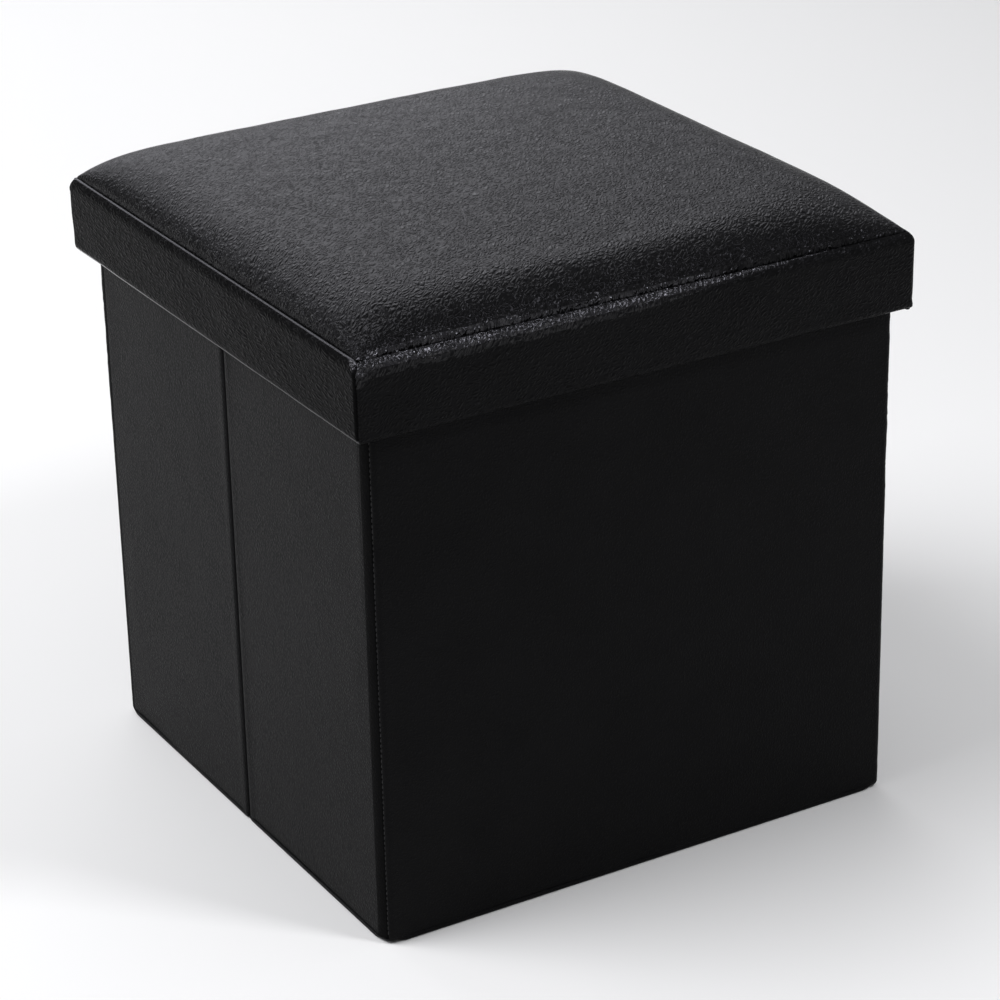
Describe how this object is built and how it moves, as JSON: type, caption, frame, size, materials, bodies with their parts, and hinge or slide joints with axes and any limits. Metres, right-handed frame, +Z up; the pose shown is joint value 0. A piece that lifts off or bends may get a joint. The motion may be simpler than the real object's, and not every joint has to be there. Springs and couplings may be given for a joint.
{
  "type": "folding storage ottoman",
  "caption": "Cube storage ottoman in black faux leather with a padded lift-off lid, a loose base board and creased sides that fold inwards so the body collapses flat.",
  "frame": {"origin": "on the floor, under the middle of the cube", "axes": "+Z up; -Y is the plain front panel; -X and +X are the creased sides that fold inwards"},
  "size_m": [0.381, 0.381, 0.3985],
  "materials": {
    "faux_leather": "grained black polyurethane leather cloth, satin",
    "board": "hardboard",
    "lining": "bonded black lining cloth",
    "foam": "open-cell cushion foam",
    "ribbon": "woven black ribbon"
  },
  "bodies": {
    "base": {"base_board": "board", "base_lining": "lining", "base_pull_tab": "ribbon"},
    "front_wall": {"front_board": "board", "front_cover": "faux_leather", "front_lining": "lining", "front_hem": "faux_leather", "front_left_corner_strip": "faux_leather", "front_right_corner_strip": "faux_leather"},
    "back_wall": {"back_board": "board", "back_cover": "faux_leather", "back_lining": "lining", "back_hem": "faux_leather", "back_left_corner_strip": "faux_leather", "back_right_corner_strip": "faux_leather"},
    "left_rear_wall": {"left_rear_board": "board", "left_rear_cover": "faux_leather", "left_rear_lining": "lining", "left_rear_hem": "faux_leather", "left_crease_strip": "faux_leather"},
    "left_front_wall": {"left_front_board": "board", "left_front_cover": "faux_leather", "left_front_lining": "lining", "left_front_hem": "faux_leather"},
    "right_rear_wall": {"right_rear_board": "board", "right_rear_cover": "faux_leather", "right_rear_lining": "lining", "right_rear_hem": "faux_leather", "right_crease_strip": "faux_leather"},
    "right_front_wall": {"right_front_board": "board", "right_front_cover": "faux_leather", "right_front_lining": "lining", "right_front_hem": "faux_leather"},
    "lid": {"lid_back_band": "faux_leather", "lid_back_skirt": "board", "lid_board": "board", "lid_foam": "foam", "lid_front_band": "faux_leather", "lid_front_skirt": "board", "lid_left_band": "faux_leather", "lid_left_skirt": "board", "lid_lining": "lining", "lid_right_band": "faux_leather", "lid_right_skirt": "board", "lid_top_cover": "faux_leather"}
  },
  "joints": [
    {"name": "body_lift", "type": "slide", "parent": "base", "child": "back_wall", "axis": [0, 0, 1], "range_m": [0, 0.4]},
    {"name": "lid_lift", "type": "slide", "parent": "back_wall", "child": "lid", "axis": [0, 0, 1], "range_m": [0, 0.25]},
    {"name": "side_fold", "type": "hinge", "parent": "back_wall", "child": "left_rear_wall", "pos_m": [-0.17535, 0.17435, 0], "axis": [0, 0, 1], "range_deg": [0, 90], "deforming": ["left_rear_hem", "left_front_hem", "front_hem", "right_rear_hem", "right_front_hem"]},
    {"name": "left_crease", "type": "hinge", "parent": "left_rear_wall", "child": "left_front_wall", "pos_m": [-0.18165, 0, 0], "axis": [0, 0, 1], "range_deg": [-180, 0]},
    {"name": "front_left_corner", "type": "hinge", "parent": "left_front_wall", "child": "front_wall", "pos_m": [-0.17535, -0.17435, 0], "axis": [0, 0, 1], "range_deg": [0, 90]},
    {"name": "back_right_corner", "type": "hinge", "parent": "back_wall", "child": "right_rear_wall", "pos_m": [0.17535, 0.17435, 0], "axis": [0, 0, 1], "range_deg": [-90, 0]},
    {"name": "right_crease", "type": "hinge", "parent": "right_rear_wall", "child": "right_front_wall", "pos_m": [0.18165, 0, 0], "axis": [0, 0, 1], "range_deg": [0, 180]}
  ],
  "couplings": [
    {"joint": "left_crease", "follows": "side_fold", "ratio": -2},
    {"joint": "front_left_corner", "follows": "side_fold", "ratio": 1},
    {"joint": "back_right_corner", "follows": "side_fold", "ratio": -1},
    {"joint": "right_crease", "follows": "side_fold", "ratio": 2}
  ]
}
